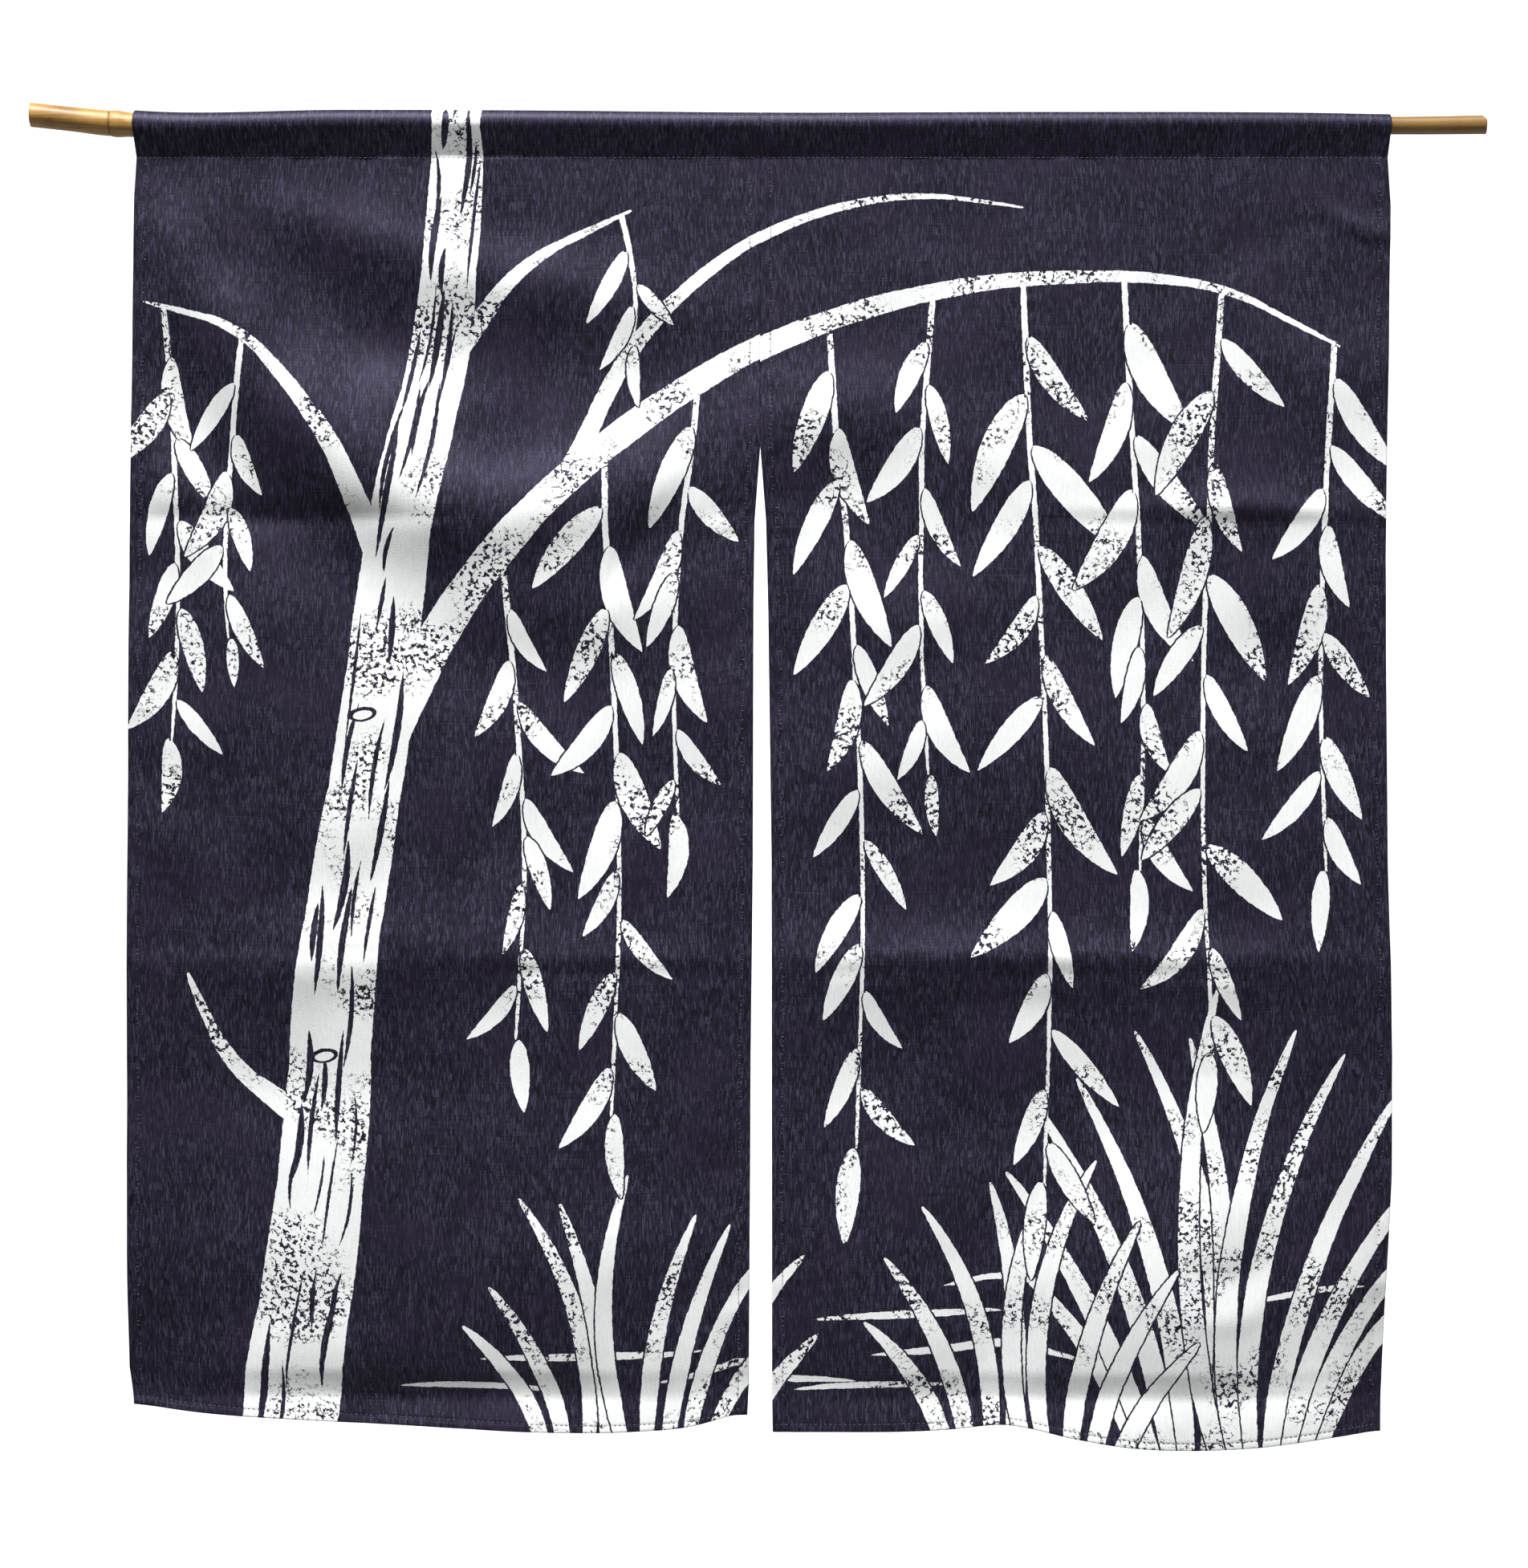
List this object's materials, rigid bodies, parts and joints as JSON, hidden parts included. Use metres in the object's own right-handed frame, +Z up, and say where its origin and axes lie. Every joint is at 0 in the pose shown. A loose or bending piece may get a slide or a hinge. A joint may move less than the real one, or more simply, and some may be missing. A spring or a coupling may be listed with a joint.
{
  "type": "noren curtain with bamboo rod",
  "caption": "Split doorway curtain of dark printed cloth, sewn from panels with a sleeve at the top, hanging in soft folds from a thin tapering bamboo rod.",
  "frame": {"origin": "on the rod's axis at the middle of its length", "axes": "+Z up, +X along the rod from the thicker end to the thinner one, -Y towards the viewer of the printed front"},
  "size_m": [0.9815, 0.0288, 0.9094],
  "materials": {
    "printed_cloth": "dark indigo slub weave, matte, with an off-white worn block print of willow and grass",
    "bamboo": "golden cane with a satin skin and fine lengthwise fibres"
  },
  "bodies": {
    "root": {"panel_left": "printed_cloth", "panel_right": "printed_cloth", "rod": "bamboo"}
  },
  "joints": []
}
